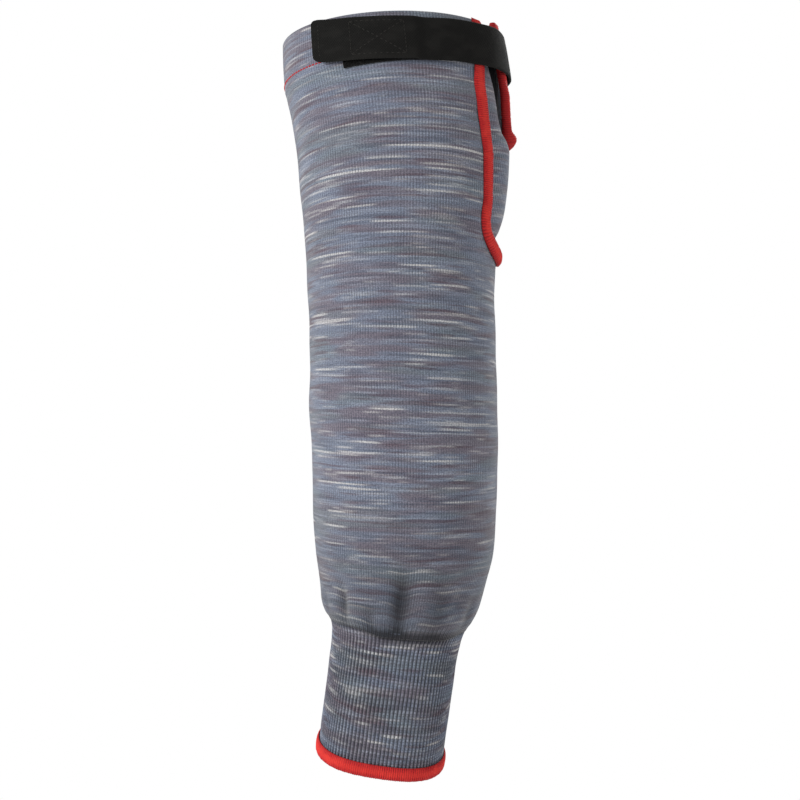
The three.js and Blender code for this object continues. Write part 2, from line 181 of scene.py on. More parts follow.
# Tilt of the arm, roll of its rings and sideways shift, down the sleeve
BEND = table("along tilt roll shift", (
    (0.00, 17, -2, -0.009), (0.06, 17, -2, 0.010), (0.16, 17, -1.5, 0.037), (0.28, 13, 0, 0.040),
    (0.33, 9.5, 0, 0.037), (0.40, 6.5, 1, 0.042), (0.47, 2.5, 2, 0.047), (0.54, -0.5, 2, 0.051),
    (0.65, -4, 1, 0.055), (0.73, -5, 1, 0.050), (0.79, -6, 4, 0.032), (0.84, -8, 7, 0.009),
    (0.88, -9, 8, -0.008), (0.905, -18, 8.5, -0.019), (1.00, -18, 8.5, -0.058)))
# Edges of the vent down its length, their flare and knobs, and the bulge of the gusset
VENT = table("along front back flare knob bulge", (
    (0.00, 55, 72, 0, 0, 0), (0.21, 52, 76, 0, 0, 0), (0.30, 51.5, 79, 0.5, 0, 0.1),
    (0.38, 53, 81.5, 0.6, 0, 0.2), (0.45, 54.2, 84.5, 0.8, 0.1, 0.45), (0.49, 55.5, 88, 1, 1, 0.6),
    (0.52, 56.5, 99, 0.2, 0, 0.85), (0.56, 58, 109, 0, 0, 1), (0.62, 60, 112, 0, 0, 1),
    (0.80, 61, 114, 0, 0, 0.85), (0.90, 56.5, 115, 0, 0, 0.5), (0.95, 54, 115.5, 0, 0.2, 0.1),
    (1.00, 54, 116, 0, 0.5, 0)))
# Creases that gather the body into the cuff: angle, half width and depth
GATHERS = ((-51, 11, 1.0), (-7, 12, 0.8), (40, 14, 0.35), (82, 11, 0.5), (124, 12, 0.9), (168, 13, 0.8),
           (214, 11, 1.0), (262, 12, 0.6))
# Route of the strap round the hem: angle, lift and rise
STRAP = table("along lift rise", (
    (STRAP_START, OVER_PATCHES + STRAP_END_LIFT, 0.15), (HOOK_START - STRAP_SETTLES, OVER_PATCHES, 0.07),
    (HOOK_END + STRAP_SETTLES, OVER_PATCHES, 0), (HOOK_END + STRAP_FALLS, OVER_LOOP, 0),
    (LOOP_END + STRAP_SETTLES, OVER_LOOP, 0.04), (LOOP_END + STRAP_FALLS, OVER_BINDING, 0.05),
    (STRAP_PAST_VENT, OVER_BINDING, 0.2), (STRAP_ON_HEM, ON_HEM, 0.2), (STRAP_END, ON_HEM, 0.2)))

# Mean radius of the hem's oval ring, and the degrees round the arm for each millimetre along it
HEM_RADIUS = HEM_WIDTH / 2 * 0.87
DEGREE_ROUND_HEM = math.degrees(1 / HEM_RADIUS)


# Form of the sleeve

def read(rows, column, place):
    """Smooth value of one column of a table at a place, without overshoot between its rows."""
    along, values = rows["along"], rows[column]
    place = np.clip(place, along[0], along[-1])
    rise = np.diff(values) / np.diff(along)
    before, after = rise[:-1], rise[1:]
    both = np.where(before * after > 0, before + after, 1)
    inner = np.where(before * after > 0, 2 * before * after / both, 0)
    slope = np.concatenate((rise[:1], inner, rise[-1:]))
    k = np.clip(np.searchsorted(along, place, side="right") - 1, 0, len(along) - 2)
    step = along[k + 1] - along[k]
    t = (place - along[k]) / step
    s = 1 - t
    return (values[k] * s * s * (1 + 2 * t) + slope[k] * step * s * s * t
            + values[k + 1] * t * t * (1 + 2 * s) - slope[k + 1] * step * t * t * s)


def arm_line():
    """Depth and height of the arm's centre line, one value for each millimetre down from the rim."""
    middles = (np.arange(SLEEVE_LENGTH + HEM_DEPTH) + 0.5) / SLEEVE_LENGTH
    tilt = np.radians(read(BEND, "tilt", middles))
    start = np.zeros(1)
    return (np.concatenate((start, -np.cumsum(np.sin(tilt)))),
            np.concatenate((start, -np.cumsum(np.cos(tilt)))))


ARM_DEPTH, ARM_HEIGHT = arm_line()


def arm_point(down):
    """Middle of the ring at a distance down the arm."""
    down = np.asarray(down, float)
    first = np.clip(np.floor(down).astype(int), 0, len(ARM_DEPTH) - 2)
    part = down - first
    shift = read(BEND, "shift", down / SLEEVE_LENGTH) * HEM_WIDTH
    depth = ARM_DEPTH[first] + (ARM_DEPTH[first + 1] - ARM_DEPTH[first]) * part
    height = ARM_HEIGHT[first] + (ARM_HEIGHT[first + 1] - ARM_HEIGHT[first]) * part
    return np.stack((shift, depth, height), -1)


RING_MIDDLE = arm_point(STRAP_LEVEL)


def place(angle, down, lift):
    """Points at angles round the arm, distances down from the rim and lifts off the smooth form."""
    angle, down, lift = np.broadcast_arrays(np.asarray(angle, float), down, lift)
    turn = np.radians(angle)
    tilt = np.radians(read(BEND, "tilt", down / SLEEVE_LENGTH))
    roll = np.radians(read(BEND, "roll", down / SLEEVE_LENGTH))
    right = np.stack((np.cos(roll), np.zeros_like(roll), -np.sin(roll)), -1)
    front = np.stack((np.sin(tilt) * np.sin(roll), -np.cos(tilt), np.sin(tilt) * np.cos(roll)), -1)
    girth = read(GIRTH, "girth", down / BODY_LENGTH)
    half_width = (CUFF_WIDTH + (HEM_WIDTH - CUFF_WIDTH) * girth) / 2
    half_depth = half_width * read(GIRTH, "depth", down / BODY_LENGTH)
    fuller = read(GIRTH, "corners", down / BODY_LENGTH) * half_width * np.sin(2 * turn) ** 2
    out_x, out_y = np.sin(turn) / half_width, np.cos(turn) / half_depth
    size = np.hypot(out_x, out_y)
    across = half_width * np.sin(turn) + out_x / size * (lift + fuller)
    ahead = half_depth * np.cos(turn) + out_y / size * (lift + fuller)
    return arm_point(down) - RING_MIDDLE + right * across[..., None] + front * ahead[..., None]


def near(angle, middle, spread):
    """Bell curve of the distance between two angles."""
    turn = np.mod(angle - middle + 540, 360) - 180
    return np.exp(-((turn / spread) ** 2))


def smooth_step(value, low, high):
    """0 below low, 1 above high and a soft slope between."""
    t = np.clip((value - low) / (high - low), 0, 1)
    return t * t * (3 - 2 * t)


def vent_edges(down):
    """Angles of the vent's front and back edges at a distance down."""
    share = np.clip(np.asarray(down, float) / VENT_LENGTH, 0, 1)
    opened = np.sqrt(1 - share ** VENT_BOTTOM_SQUARENESS)
    return tuple(VENT_BOTTOM_ANGLE + (read(VENT, side, share) - VENT_BOTTOM_ANGLE) * opened
                 for side in ("front", "back"))


def knit_lift(angle, down):
    """Lift of the knit's middle layer: gathers above the cuff and the vent's flared back edge."""
    share = np.clip((down - (BODY_LENGTH - GATHER_LENGTH)) / GATHER_LENGTH, 0, 1)
    gather = GATHER_DEPTH * np.sin(math.pi * share ** 1.7) * share
    lift = np.zeros(np.broadcast(angle, down).shape)
    for middle, spread, depth in GATHERS:
        lift = lift - gather * depth * near(angle, middle, spread)
    flare = read(VENT, "flare", down / VENT_LENGTH) * VENT_FLARE
    return lift + flare * near(angle, vent_edges(down)[1], FLARE_SPREAD) - KNIT_WALL / 2


def half_wall(down):
    """Half of the wall's thickness: the folded hem is fuller than the single knit."""
    return KNIT_WALL / 2 + HEM_SWELL * (1 - smooth_step(down, HEM_DEPTH - HEM_STEP, HEM_DEPTH + HEM_STEP))


# Small creases in the gathers that the plain model leaves out: angle, half width in degrees, place down
# from the rim, half height and depth in millimetres
CREASES = ((-66, 5, 356, 9, 1.3), (-45, 5, 353, 12, 2.8), (-22, 5, 361, 8, 1.6), (0, 7, 350, 19, 4.2),
           (28, 8, 353, 14, 1.8), (57, 6, 356, 9, 1.8), (100, 5, 350, 14, 2.0), (146, 6, 352, 13, 2.4),
           (190, 6, 354, 12, 2.0), (236, 6, 350, 14, 2.4), (268, 6, 354, 10, 1.8))
# The full front of the body hangs over the cuff in a lip this low, in millimetres, and stands off by part
# of that; it hangs at these angles, with half widths in degrees and shares
LIP_DROOP = 3.2
LIP_STANDS_OFF = 0.4
LIP_HANGS = ((-10, 17, 1), (18, 18, 1), (42, 14, 0.7))
# Where the painted shade of the fold above the cuff is darkest: angle, half width in degrees and darkness
JOINT_SHADES = ((-8, 18, 0.70), (30, 22, 0.55))


def creases(angle, down):
    """Depth of the small creases in the gathers."""
    depth = np.zeros(np.broadcast(angle, down).shape)
    for middle, spread, level, height, deep in CREASES:
        depth = depth + deep * near(angle, middle, spread) * np.exp(-((down - level) / height) ** 2)
    return depth * (1 - smooth_step(down, BODY_LENGTH - 5, BODY_LENGTH))


def lip_droop(angle, down):
    """Drop of the body's lower edge where it hangs over the cuff."""
    hang = sum(share * near(angle, middle, spread) for middle, spread, share in LIP_HANGS)
    return LIP_DROOP * np.minimum(hang, 1) * smooth_step(down, BODY_LENGTH - 22, BODY_LENGTH)


def joint_shade(angle, down):
    """Painted shade of the tight fold where the full front of the body turns in to the cuff."""
    near_joint = np.exp(-((down - BODY_LENGTH + 1) / 3.2) ** 2)
    last_courses = 0.35 * np.exp(-((down - BODY_LENGTH) / 1.2) ** 2)
    return last_courses + near_joint * sum(
        (dark * near(angle, middle, spread) for middle, spread, dark in JOINT_SHADES), 0.12)


def soft_relief(angle, down):
    """Gentle unevenness of a worn knit, as slow waves that calm down at the hem and the cuff."""
    draws = np.random.default_rng(11)
    waves = np.zeros(np.broadcast(angle, down).shape)
    for _ in range(14):
        turns, length = draws.integers(1, 8), draws.uniform(28, 90)
        phase, size = draws.uniform(0, 2 * math.pi), draws.uniform(0.05, 0.12)
        waves = waves + size * np.sin(turns * np.radians(angle) + 2 * math.pi * down / length + phase)
    below_hem = smooth_step(down, HEM_DEPTH, HEM_DEPTH + 30)
    return waves * below_hem * (1 - smooth_step(down, BODY_LENGTH - 14, BODY_LENGTH))


# Meshes

def unit(vectors):
    """The same directions, one long."""
    return vectors / np.linalg.norm(vectors, axis=-1, keepdims=True)


def run_along(path):
    """How far along a path each of its points is."""
    return np.concatenate(([0], np.cumsum(np.linalg.norm(np.diff(path, axis=0), axis=1))))


def threads(along, across):
    """Thread coordinates of a grid of points."""
    return np.stack(np.broadcast_arrays(along, across), -1)


def new_mesh(name, points, faces, coordinates, material, marks=None):
    """Object from points in millimetres, faces, knit coordinates and named marks for each point."""
    mesh = bpy.data.meshes.new(name)
    points = np.asarray(points, float) * MM
    faces = np.asarray(faces, np.int32)
    mesh.vertices.add(len(points))
    mesh.vertices.foreach_set("co", points.astype(np.float32).ravel())
    mesh.loops.add(faces.size)
    mesh.loops.foreach_set("vertex_index", faces.ravel())
    mesh.polygons.add(len(faces))
    mesh.polygons.foreach_set("loop_start", np.arange(len(faces), dtype=np.int32) * faces.shape[1])
    mesh.update(calc_edges=True)
    mesh.polygons.foreach_set("use_smooth", np.full(len(faces), True))
    for mark, values in (marks or {}).items():
        attribute = mesh.attributes.new(mark, "FLOAT", "POINT")
        attribute.data.foreach_set("value", np.asarray(values, np.float32).ravel())
    layer = mesh.uv_layers.new(name="Thread")
    layer.data.foreach_set("uv", np.asarray(coordinates, np.float32)[faces.ravel()].ravel())
    mesh.materials.append(material)
    mesh.validate()
    piece = bpy.data.objects.new(name, mesh)
    bpy.context.collection.objects.link(piece)
    return piece


def grid_faces(columns, rows, start=0, flip=False):
    """Faces of a grid of points laid out column by column."""
    column = np.arange(columns - 1)[:, None] * rows
    row = np.arange(rows - 1)
    corners = (column + row, column + row + 1, column + rows + row + 1, column + rows + row)
    faces = np.stack([corner.ravel() for corner in corners], -1) + start
    return faces[:, ::-1] if flip else faces


def shell(name, outer, inner, coordinates, material, closed=False, slit=0, marks=None):
    """Closed sheet from an outer and an inner grid of points, [column][row]. A closed one comes round to
    its first column again and is welded there, except in its first rows where it is slit. Marks hold a
    value for each point of the outer side and then of the inner."""
    columns, rows = outer.shape[:2]
    count = columns * rows
    around = np.arange(columns) * rows
    down = np.arange(slit if closed else rows)
    faces = (grid_faces(columns, rows), grid_faces(columns, rows, count, True),
             edge_band(around, count), edge_band(around + rows - 1, count, True),
             edge_band(down, count, True), edge_band(down + (columns - 1) * rows, count))
    piece = new_mesh(name, np.concatenate((outer.reshape(-1, 3), inner.reshape(-1, 3))), np.concatenate(faces),
                     np.concatenate((coordinates.reshape(-1, 2),) * 2), material, marks)
    if closed:
        weld(piece)
    return piece


def edge_band(ring, count, flip=False):
    """Faces that join the outer to the inner sheet along one edge."""
    quads = np.stack((ring[:-1], ring[1:], ring[1:] + count, ring[:-1] + count), -1)
    return quads[:, ::-1] if flip else quads


def weld(piece):
    """Joins points that lie on each other."""
    grid = bmesh.new()
    grid.from_mesh(piece.data)
    bmesh.ops.remove_doubles(grid, verts=grid.verts, dist=WELD_DISTANCE)
    grid.to_mesh(piece.data)
    grid.free()


def tubes(name, paths, radius, sides, material):
    """Joined round threads with an even number of sides, each along its own path of points, with closed
    ends."""
    points, faces, coordinates = [], [], []
    start = 0
    here = np.arange(sides)
    after = (here + 1) % sides
    turn = here / sides * 2 * math.pi
    for path in paths:
        count = len(path)
        along = unit(np.gradient(path, axis=0))
        side = unit(np.cross(along, SIDEWAYS))
        up = np.cross(side, along)
        ring = side[:, None] * np.cos(turn)[None, :, None] + up[:, None] * np.sin(turn)[None, :, None]
        points.append((path[:, None] + ring * radius).reshape(-1, 3))
        coordinates.append(threads(run_along(path)[:, None], turn / (2 * math.pi)).reshape(-1, 2))
        row = np.arange(count - 1)[:, None] * sides
        quads = np.stack((row + here, row + after, row + sides + after, row + sides + here), -1)
        faces.append(quads.reshape(-1, 4) + start)
        for end, order in ((0, -1), (count - 1, 1)):
            cap = (here + end * sides + start)[::order]
            faces += [cap[None, [0, k, k + 1, k + 2]] for k in range(1, sides - 1, 2)]
        start += count * sides
    return new_mesh(name, np.concatenate(points), np.concatenate(faces), np.concatenate(coordinates), material)


def declare(piece, slot, *nodes):
    """Ties a piece to the body and hides the nodes that it stands for; its slot is not used."""
    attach(piece, BODY)
    if nodes:
        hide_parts(*nodes)
    return piece


# Materials

# A map range that fades in and out softly
SOFT = {"interpolation_type": "SMOOTHSTEP"}


def linear(hex_colour):
    """Linear colour from an sRGB hex value."""
    values = [int(hex_colour[k:k + 2], 16) / 255 for k in (1, 3, 5)]
    return tuple(v / 12.92 if v <= 0.04045 else ((v + 0.055) / 1.055) ** 2.4 for v in values) + (1.0,)


def add_node(tree, kind, inputs=(), output=0, **settings):
    """Adds a node with its settings, sets or links its inputs, and gives one of its outputs."""
    node = tree.nodes.new("ShaderNode" + kind)
    for name, value in settings.items():
        setattr(node, name, value)
    for key, value in inputs.items() if isinstance(inputs, dict) else enumerate(inputs):
        if isinstance(value, bpy.types.NodeSocket):
            tree.links.new(value, node.inputs[key])
        else:
            node.inputs[key].default_value = value
    return node.outputs[output] if node.outputs else node


def new_material(name):
    """Empty node material, and the function that adds a node to it."""
    material = bpy.data.materials.new(name)
    material.use_nodes = True
    material.node_tree.nodes.clear()
    return material, partial(add_node, material.node_tree)


def clouds(add, scale, detail=1.0):
    """Cloudy pattern over the cloth, scaled along and across its threads."""
    where = add("UVMap", uv_map="Thread")
    spot = add("VectorMath", (where, (*scale, 0.0)), operation="MULTIPLY")
    return add("TexNoise", {"Vector": spot, "Scale": 1.0, "Detail": detail}, noise_dimensions="2D")


def finish_cloth(add, ground, tints, height, deep, roughness, specular, sheen, sheen_roughness, strength=0.6):
    """Lays tints over the ground colour, each by its share, and ends the material with the relief of a
    height that is so many millimetres deep, and with the gloss and the sheen of its fibres."""
    colour = ground
    for share, tint, *blend in tints:
        colour = add("Mix", {0: share, 6: colour, 7: tint}, output=2, data_type="RGBA",
                     blend_type=blend[0] if blend else "MIX")
    bump = add("Bump", {"Strength": strength, "Distance": deep * MM, "Height": height})
    shader = add("BsdfPrincipled", {"Base Color": colour, "Normal": bump, "IOR": 1.5, "Roughness": roughness,
                                    "Specular IOR Level": specular, "Sheen Weight": sheen,
                                    "Sheen Roughness": sheen_roughness})
    add("OutputMaterial", (shader,))


# Layers of the marl: length of its streaks in wales, their height in courses (0 where each course has its
# own), a seed, the range of noise over which a streak fades in, its strength, its colour, and how much the
# strength differs from course to course
MARL = (
    (30, 4.5, 3, 0.42, 0.58, 1.00, "violet", 0), (40, 8.0, 50, 0.50, 0.66, 0.60, "teal", 0),
    (24, 0, 11, 0.50, 0.68, 0.60, "dark", 0.4), (26, 0, 71, 0.52, 0.68, 0.55, "light", 0.5),
    (24, 2.2, 90, 0.58, 0.68, 0.50, "maroon", 0), (16, 0, 23, 0.60, 0.74, 0.35, "maroon", 0.6),
    (12, 0, 57, 0.60, 0.74, 0.35, "slub", 0.7), (30, 0, 31, 0.59, 0.70, 0.80, "slub", 0.8))
# Colours of the fibres' mottle and of the painted shade in the deepest folds
MOTTLE = "#a4a5ad"
FOLD_SHADE = "#101014"
# How far apart in the noise two courses can lie that each have their own streaks
COURSE_SPREAD = 90.0


def marled_knit(name, colours, stitches_round, ribbed=False):
    """Knit of a yarn spun from slate, violet-grey and white fibres with a maroon strand: clouds of colour,
    courses that each run lighter or darker, thin white slubs 20 to 60 mm long, and painted shade in the fine
    upright lines between the wales and in the creases. Rough, with the soft sheen of short fibres."""
    material, add = new_material(name)
    where = add("UVMap", uv_map="Thread")
    wale, course_place = add("SeparateXYZ", (where,)).node.outputs[:2]
    turn = add("Math", (wale, 2 * math.pi / stitches_round), operation="MULTIPLY")
    cosine, sine = (add("Math", (turn,), operation=kind) for kind in ("COSINE", "SINE"))
    ring = add("CombineXYZ", (cosine, sine, 0.0))

    def round_arm(reach, level):
        """Spot on a ring of some reach, so that a pattern meets itself behind, at some level."""
        up = add("CombineXYZ", (0.0, 0.0, level))
        return add("VectorMath", (ring, (reach, reach, 0.0), up), operation="MULTIPLY_ADD")

    # Widest in the middle of a wale and nothing between two; the courses sway by part of a stitch
    centre = add("Math", (wale, 0.5), operation="PINGPONG")
    arch = add("Math", (centre, 0.5 if ribbed else 0.3, course_place), operation="MULTIPLY_ADD")
    sway = add("TexNoise", {"Vector": round_arm(5.0, course_place), "Scale": 0.3, "Detail": 1.0})
    stitch_place = add("Math", (sway, 1.6, arch), operation="MULTIPLY_ADD")
    course = add("Math", (stitch_place,), operation="FLOOR")
    yarn = add("Math", (stitch_place, 0.5), operation="PINGPONG")
    draw = add("TexWhiteNoise", {"W": course}, output=1, noise_dimensions="1D")
    draws = add("SeparateColor", (draw,)).node.outputs

    tints = []
    for length, height, seed, low, high, strength, tint, differs in MARL:
        reach = stitches_round / (2 * math.pi * length * (0.5 if ribbed else 1))
        rise = (course_place, 1 / height, seed) if height else (draws[seed % 3], COURSE_SPREAD, seed)
        spot = round_arm(reach, add("Math", rise, operation="MULTIPLY_ADD"))
        field = add("TexNoise", {"Vector": spot, "Scale": 1.0, "Detail": 1.0, "Roughness": 0.5})
        share = add("MapRange", (field, low, high, 0.0, strength), **SOFT)
        if differs:
            own = add("MapRange", (draws[(seed + 1) % 3], 0.0, 1.0, 1.0 - differs, 1.0))
            share = add("Math", (share, own), operation="MULTIPLY")
        tints.append((share, colours[tint]))

    # Fibres mottle each stitch
    mottle = add("MapRange", (clouds(add, (1.7, 1.4)), 0.35, 0.70, 0.0, 0.6), **SOFT)
    # Painted shade between the wales and between the courses, deeper in some places than in others
    least, most = (0.50, 0.85) if ribbed else (0.12, 0.55)
    depth = add("MapRange", (clouds(add, (0.07, 0.11)), 0.35, 0.65, least, most))
    groove = add("MapRange", (centre, 0.02, 0.38 if ribbed else 0.28, 1.0, 0.0), **SOFT)
    groove = add("Math", (groove, depth), operation="MULTIPLY")
    between = add("MapRange", (yarn, 0.0, 0.28, 0.60 if ribbed else 0.30, 0.0))
    hollow = add("Math", (groove, between), operation="MAXIMUM")
    if not ribbed:
        # Every second groove takes the painted shade of a rib's valley close to the cuff
        pair = add("Math", (wale, 1.0), operation="PINGPONG")
        valley = add("MapRange", (pair, 0.05, 0.75, 0.85, 0.0), **SOFT)
        begun = add("Attribute", output=2, attribute_name="RibShade")
        rib = add("Math", (valley, begun), operation="MULTIPLY")
        hollow = add("Math", (hollow, rib), operation="MAXIMUM")
    # Painted shade wherever each mesh marks it: creases, the gusset's fold and the fold above the cuff
    painted_shade = add("Attribute", output=2, attribute_name="PaintedShade")
    tints += [(mottle, linear(MOTTLE), "MULTIPLY"), (hollow, colours["hollow"]), (painted_shade, linear(FOLD_SHADE))]
    plump = add("Math", (centre, yarn), operation="MULTIPLY")
    relief = add("Math", (centre, 1.2, plump), operation="MULTIPLY_ADD")
    finish_cloth(add, colours["slate"], tints, relief, deep=0.5, roughness=0.9, specular=0.2, sheen=0.4,
                 sheen_roughness=0.5)
    return material


def wrapped_thread(name, colour, deep, bright, pitch, crowned=False):
    """Textured polyester overlock thread: bulky crimped filaments, matt, with painted shade in the roots
    between its turns. Crowned turns carry a painted highlight along their middle and painted shade at the two
    lips."""
    material, add = new_material(name)
    where = add("UVMap", uv_map="Thread")
    along, over = add("SeparateXYZ", (where,)).node.outputs[:2]
    turns = add("Math", (along, 1 / pitch), operation="MULTIPLY")
    turn = add("Math", (turns, 0.5), operation="PINGPONG")
    # Painted shade: the thread's colour gives way to the root colour between its turns
    fibre = add("Math", (clouds(add, (2.6, 1.6), 2.0), 0.7, turn), operation="MULTIPLY_ADD")
    shade = add("MapRange", (fibre, 0.35, 0.75), **SOFT)
    worn = add("MapRange", (clouds(add, (0.14, 0.25)), 0.45, 0.75, 0.0, 0.4), **SOFT)
    tints = [(shade, linear(colour)), (worn, linear(bright))]
    if crowned:
        # Painted highlight along the middle of each crowned turn and painted shade at its two lips
        off_crown = add("Math", (over, THREAD_TURN * 0.2), operation="SUBTRACT")
        off_crown = add("Math", (off_crown,), operation="ABSOLUTE")
        for low, high, least, most, tint in ((0.03, 0.13, 0.45, 0.0, bright), (0.10, 0.24, 0.0, 0.60, deep)):
            share = add("MapRange", (off_crown, THREAD_TURN * low, THREAD_TURN * high, least, most), **SOFT)
            tints.append((share, linear(tint)))
    finish_cloth(add, linear(deep), tints, fibre, deep=0.25, roughness=0.7, specular=0.2, sheen=0.05,
                 sheen_roughness=0.4)
    return material


def woven_webbing(name, colour, deep):
    """Black polyester webbing, plain woven with a warp of 1 mm and a pick of 1.35 mm: close, matt, a little
    dusty on its high threads, with painted shade where its threads dip under each other."""
    material, add = new_material(name)
    where = add("UVMap", uv_map="Thread")
    crossing = add("VectorMath", (where, (1 / 1.35, 1.0, 0.0)), operation="MULTIPLY")
    pick, warp = add("SeparateXYZ", (crossing,)).node.outputs[:2]
    row = add("Math", (warp,), operation="FLOOR")
    stagger = add("Math", (row, 0.5, pick), operation="MULTIPLY_ADD")
    over, lane = (add("Math", (spot, 0.5), operation="PINGPONG") for spot in (stagger, warp))
    weave = add("Math", (over, lane), operation="MULTIPLY")
    height = add("Math", (weave, 2.0, over), operation="MULTIPLY_ADD")
    # Painted shade: the deep colour where the threads dip under, the webbing's colour on their high points
    tints = [(add("MapRange", (height, 0.1, 0.8), **SOFT), linear(colour))]
    for scale, low, high, tint in (((0.08, 0.11), 0.42, 0.68, "#22211f"), ((1.4, 1.6), 0.55, 0.80, "#262523")):
        dust = add("MapRange", (clouds(add, scale, 3.0), low, high, 0.0, 0.35), **SOFT)
        tints.append((dust, linear(tint)))
    finish_cloth(add, linear(deep), tints, height, deep=0.3, roughness=0.85, specular=0.15, sheen=0.03,
                 sheen_roughness=0.5)
    return material


def napped_nylon(name, colour, pitch):
    """Black nylon touch tape: a dense nap of loops or hooks, dull, with pinpoint shadows."""
    material, add = new_material(name)
    where = add("UVMap", uv_map="Thread")
    nap = add("TexNoise", {"Vector": where, "Scale": 1 / pitch, "Detail": 2.0, "Roughness": 0.7},
              noise_dimensions="2D")
    raised = add("MapRange", (nap, 0.35, 0.70), **SOFT)
    finish_cloth(add, linear("#0b0b0a"), [(raised, linear(colour))], nap, deep=0.5, roughness=0.95,
                 specular=0.15, sheen=0.05, sheen_roughness=0.6, strength=0.9)
    return material


def plain_white(name):
    """Matt white studio paper, with the faintest grain."""
    material, add = new_material(name)
    grain = add("TexNoise", {"Scale": 3.0, "Detail": 2.0})
    colour = add("Mix", {0: grain, 6: linear("#f4f4f3"), 7: linear("#fbfbfa")}, output=2, data_type="RGBA")
    shader = add("BsdfPrincipled", {"Base Color": colour, "Roughness": 0.95, "Specular IOR Level": 0.1})
    add("OutputMaterial", (shader,))
    return material


# Pieces

class KnitProperties(bpy.types.PropertyGroup):
    """Gauge and colours of the knit."""
    wales: IntProperty(name="Wales", description="Columns of stitches round the body", default=206, min=80)
    course_pitch: FloatProperty(name="Course Pitch", description="Height of one course of stitches",
                                default=1.2 * MM, unit="LENGTH", precision=5)
    slate: StringProperty(name="Slate", description="Ground colour of the yarn, as sRGB hex", default="#7e8698")
    violet: StringProperty(name="Violet Grey", description="Second ground colour of the yarn",
                           default="#79737f")
    slub_colour: StringProperty(name="Slub", description="Colour of the white slubs", default="#dcdad8")
    maroon: StringProperty(name="Maroon", description="Colour of the maroon strand", default="#5f454d")


class ThreadProperties(bpy.types.PropertyGroup):
    """Pitch and colour of the overlock thread."""
    pitch: FloatProperty(name="Pitch", description="Distance between two turns of the overlock thread",
                         default=1.3 * MM, unit="LENGTH", precision=5)
    colour: StringProperty(name="Colour", description="Colour of the overlock thread", default="#cc2727")
    # The root colour is painted shade between the turns and at the lips; the crest colour is a painted
    # highlight on the crowns and also lightens random clouds
    deep: StringProperty(name="Root", description="Colour between its turns", default="#8e181c")
    bright: StringProperty(name="Crest", description="Colour of its brightest turns", default="#e03c31")
    hem_stitch: FloatProperty(name="Hem Stitch", description="Length of one stitch of the hem's seam",
                              default=2.6 * MM, unit="LENGTH", precision=5)


class StrapProperties(bpy.types.PropertyGroup):
    """Stitching and colour of the strap."""
    stitch: FloatProperty(name="Stitch", description="Length of one stitch of the strap's seams",
                          default=2.8 * MM, unit="LENGTH", precision=5)
    colour: StringProperty(name="Webbing", description="Colour of the webbing", default="#171614")


class StageProperties(bpy.types.PropertyGroup):
    """Light and floor of the studio."""
    show_floor: BoolProperty(name="Floor", description="Lay a pale floor below the sleeve", default=True)
    key_power: FloatProperty(name="Key Power", description="Power of the key light in watts", default=35.0,
                             min=0)
    ambient: FloatProperty(name="Ambient", description="Strength of the light from all round", default=0.38,
                           min=0)


def knit_colours(settings, gain=1.0):
    """Colours of the marled yarn and of the painted shade between its stitches, darkened by a gain."""
    yarn = {"slate": settings.slate, "violet": settings.violet, "slub": settings.slub_colour,
            "maroon": settings.maroon, "dark": "#525768", "light": "#a3a9b8", "teal": "#7b878f",
            "hollow": "#33363f"}
    return {name: tuple(c * gain for c in linear(value)[:3]) + (1.0,) for name, value in yarn.items()}


def material_once(name, maker, *arguments, **options):
    """The named material, made when it isn't there yet."""
    return bpy.data.materials.get(name) or maker(name, *arguments, **options)


def jersey(settings):
    """The marled jersey's material."""
    return material_once("Marled jersey knit", marled_knit, knit_colours(settings), settings.wales)


def red_thread(settings):
    """The red overlock thread's material."""
    return material_once("Red overlock thread", wrapped_thread, settings.colour, settings.deep, settings.bright,
                         settings.pitch / MM, True)


# Grid of the body: columns round it, rows beside the vent and below it, and the height of its last row
BODY_COLUMNS = 250
VENT_ROWS = 76
LOWER_ROWS = 112
EDGE_STRIP = 0.3
# Rows crowd towards the vent's bottom, two more lie at the rim, and the next one is this far below the vent
ROW_CROWDING = 1.35
RIM_ROWS = (0.25, 0.8)
BELOW_VENT = 0.35
# No painted shade of a fold goes past this
DARKEST = 0.9


def body_rows():
    """Distances down of the body's fine rows, and the number of rows that the vent splits."""
    share = np.arange(VENT_ROWS + 1) / VENT_ROWS
    vent = VENT_LENGTH * (1 - (1 - share) ** ROW_CROWDING)
    vent = np.sort(np.concatenate((vent, RIM_ROWS)))
    last = BODY_LENGTH - CLEARANCE / 2
    lower = np.append(np.linspace(VENT_LENGTH + BELOW_VENT, last - EDGE_STRIP, LOWER_ROWS - 1), last)
    return np.concatenate((vent, lower)), len(vent)


def body_places(columns, rings):
    """Angles and distances down of a grid over the body, with the rim's peak at the vent's back edge."""
    share = np.arange(columns + 1)[:, None] / columns
    crowded = share - COLUMN_CROWDING * np.sin(2 * math.pi * share) / (2 * math.pi)
    front, back = vent_edges(rings)
    angle = back + (360 + front - back) * crowded
    peak = RIM_PEAK * np.maximum(0, 1 - rings / HEM_DEPTH) * near(angle, back, PEAK_SPREAD) * (share < 0.5)
    return angle, rings - peak


